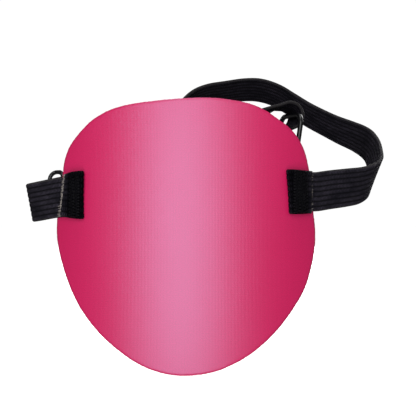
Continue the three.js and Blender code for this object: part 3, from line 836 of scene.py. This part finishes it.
flat_tack("ring_bar_tack_thread", low + across * (0.57 + STRAP_T / 2), pull, bar_dir, across, 5.4, 8.4, 4.9, "ring_end_bar_tack", "strap_loop")
flat_tack("slider_bar_tack_thread", along(0) + front * (outer_layer + STRAP_T / 2), d0, w0, front, SLIDER_AT + 6.6, SLIDER_AT + 9.6, 4.9, "slider_end_bar_tack", "adjuster")

# ------------------------------------------------------------------ ring and slider
mid = (A(*RING_TOP) + low) / 2
up = A(*RING_TOP) - low
ring_h = np.linalg.norm(up)
up = up / ring_h
pts = []
for sy, sz, a0 in ((1, 1, 0), (-1, 1, 90), (-1, -1, 180), (1, -1, 270)):
    corner = 3.0 if sz > 0 else 1.8
    for deg in np.linspace(0, 90, 13):
        a = math.radians(a0 + deg)
        y = sy * (RING_SPAN / 2 - corner) + corner * math.cos(a)
        z = sz * (ring_h / 2 - corner) + corner * math.sin(a)
        pts.append(mid + bar_dir * (y + sy * 0.45 * (1 - (2 * z / ring_h) ** 2)) + up * z)
dense = []
for i in range(len(pts)):
    a, b = pts[i], pts[(i + 1) % len(pts)]
    k = max(1, int(np.linalg.norm(b - a) / 0.8))
    dense += [a + (b - a) * f / k for f in range(k)]
rv, rf, ruv = tube_data(dense, RING_R, 28, closed=True)
ring = mesh_obj("strap_ring_moulding", rv, rf, PLASTIC, ruv)
fix_normals(ring)
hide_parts("strap_ring")
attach(ring, "ring")

back_bar = -(STRAP_T / 2 + GAP + BAR_R)


def slider_point(t, m, w):
    return along(SLIDER_AT + t) + front * m + w0 * (w + SLIDER_UP)


parts_v, parts_f = [], []


def take(v, f):
    o = len(parts_v)
    parts_v.extend(v)
    parts_f.extend([tuple(i + o for i in face) for face in f])


frame_pts = []
for sign, a_0 in ((1, 0), (-1, 180)):
    for k in range(25):
        a = math.radians(a_0 + k * 7.5)
        frame_pts.append(slider_point(SLIDER_HALF * math.cos(a), back_bar, sign * 4.5 + (SLIDER_REACH - 4.5) * math.sin(a)))
v, f, _ = tube_data(frame_pts, BAR_R, 24, closed=True)
take(v, f)
bent = []
for sign in (-1, 1):
    seq = [slider_point(0, back_bar + (bar_at - 1.2 - back_bar) * q, sign * SLIDER_REACH) for q in np.linspace(0, 1, 6)]
    seq += [slider_point(0, bar_at - 1.2 + 1.2 * math.sin(a), sign * (SLIDER_REACH - 1.2 + 1.2 * math.cos(a))) for a in np.linspace(0.2, math.pi / 2, 6)]
    bent.append(seq)
spine = bent[0] + [slider_point(0, bar_at, w) for w in np.linspace(-5.4, 5.4, 14)] + bent[1][::-1]
v, f, _ = tube_data(spine, BAR_R, 24)
take(v, f)
slider = mesh_obj("slider_moulding", parts_v, parts_f, PLASTIC)
fix_normals(slider)
rm = slider.modifiers.new("join", "REMESH")
rm.mode, rm.voxel_size, rm.use_smooth_shade = "VOXEL", 0.00016, True
sm = slider.modifiers.new("soften", "SMOOTH")
sm.iterations, sm.factor = 6, 0.5
dg = bpy.context.evaluated_depsgraph_get()
new = bpy.data.meshes.new_from_object(slider.evaluated_get(dg))
slider.modifiers.clear()
slider.data = new
new.polygons.foreach_set("use_smooth", np.full(len(new.polygons), True))
if not new.materials:
    new.materials.append(PLASTIC)
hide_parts("slider_frame")
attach(slider, "slider")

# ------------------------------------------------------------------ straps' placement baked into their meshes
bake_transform(right_strap)
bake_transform(left_strap)
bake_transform(return_strap)

# ------------------------------------------------------------------ area of the moulded shell at two depths (not used further)
def shell_area(depth):
    a = 0.0
    n = EDGE_N
    for r0, r1 in zip(np.linspace(0, 1, 41)[:-1], np.linspace(0, 1, 41)[1:]):
        p, q = on_patch(edge[:, 0] * r0, edge[:, 1] * r0, np.full(n, depth)), on_patch(edge[:, 0] * r1, edge[:, 1] * r1, np.full(n, depth))
        p2, q2 = np.roll(p, -1, 0), np.roll(q, -1, 0)
        a += 0.5 * (np.linalg.norm(np.cross(q - p, q2 - p), axis=1).sum() + np.linalg.norm(np.cross(q2 - p, p2 - p), axis=1).sum())
    return a * 1e-6


shell_area(0)
shell_area(3.1)

# ------------------------------------------------------------------ floor, light
def stage_mat():
    m, nt, b = new_mat("pale_floor")
    n = N(nt)
    pos = n.put("ShaderNodeTexCoord").outputs["Object"]
    f = n.noise(pos, 60, 2.0, 0.5)
    nt.links.new(n.mix(f, rgb(0.90, 0.90, 0.90), rgb(0.93, 0.93, 0.93)), b.inputs["Base Color"])
    b.inputs["Roughness"].default_value = 0.9
    b.inputs["Specular IOR Level"].default_value = 0.1
    b.inputs["Emission Color"].default_value = rgb(1, 1, 1)
    cam_ray = n.put("ShaderNodeLightPath").outputs["Is Camera Ray"]
    nt.links.new(n.math("MULTIPLY_ADD", cam_ray, 0.87, 0.05), b.inputs["Emission Strength"])
    return m


bpy.ops.mesh.primitive_plane_add(size=8, location=(0, 0, -0.0400))
floor = bpy.context.object
floor.name = "floor"
floor.data.materials.append(stage_mat())
# the soft box reaches below the floor, as light bounced up from a studio floor does
floor.visible_shadow = floor.visible_glossy = floor.visible_diffuse = False

world = bpy.data.worlds.new("studio")
bpy.context.scene.world = world
world.use_nodes = True
wn = world.node_tree
bg = wn.nodes["Background"]
bg.inputs[0].default_value = rgb(1, 1, 1)
lp = wn.nodes.new("ShaderNodeLightPath")
mx = wn.nodes.new("ShaderNodeMath")
mx.operation = "MULTIPLY_ADD"
mx.inputs[1].default_value = 0.94
mx.inputs[2].default_value = 0.09
wn.links.new(lp.outputs["Is Camera Ray"], mx.inputs[0])
wn.links.new(mx.outputs[0], bg.inputs[1])


def area(name, loc, target, sx, sy, power, color=(1, 1, 1)):
    l = bpy.data.lights.new(name, "AREA")
    l.shape, l.size, l.size_y, l.energy, l.color = "RECTANGLE", sx, sy, power, color
    o = bpy.data.objects.new(name, l)
    bpy.context.scene.collection.objects.link(o)
    o.location = loc
    d = Vector(target) - Vector(loc)
    o.rotation_euler = d.to_track_quat("-Z", "Y").to_euler()
    o.visible_camera = False
    return o


area("key", (-0.075, -1.05, 0.0), (0, 0, 0), 0.88, 1.9, 15.1)
area("top", (0.05, -0.05, 0.90), (0, 0.02, 0), 0.7, 0.6, 2.6)
area("back", (0.35, 1.25, 0.55), (0, 0.02, 0.02), 1.1, 1.0, 16.0)

sc = bpy.context.scene
sc.view_settings.view_transform = "Standard"
sc.view_settings.look = "None"
sc.view_settings.exposure = 0.0
sc.view_settings.gamma = 1.0
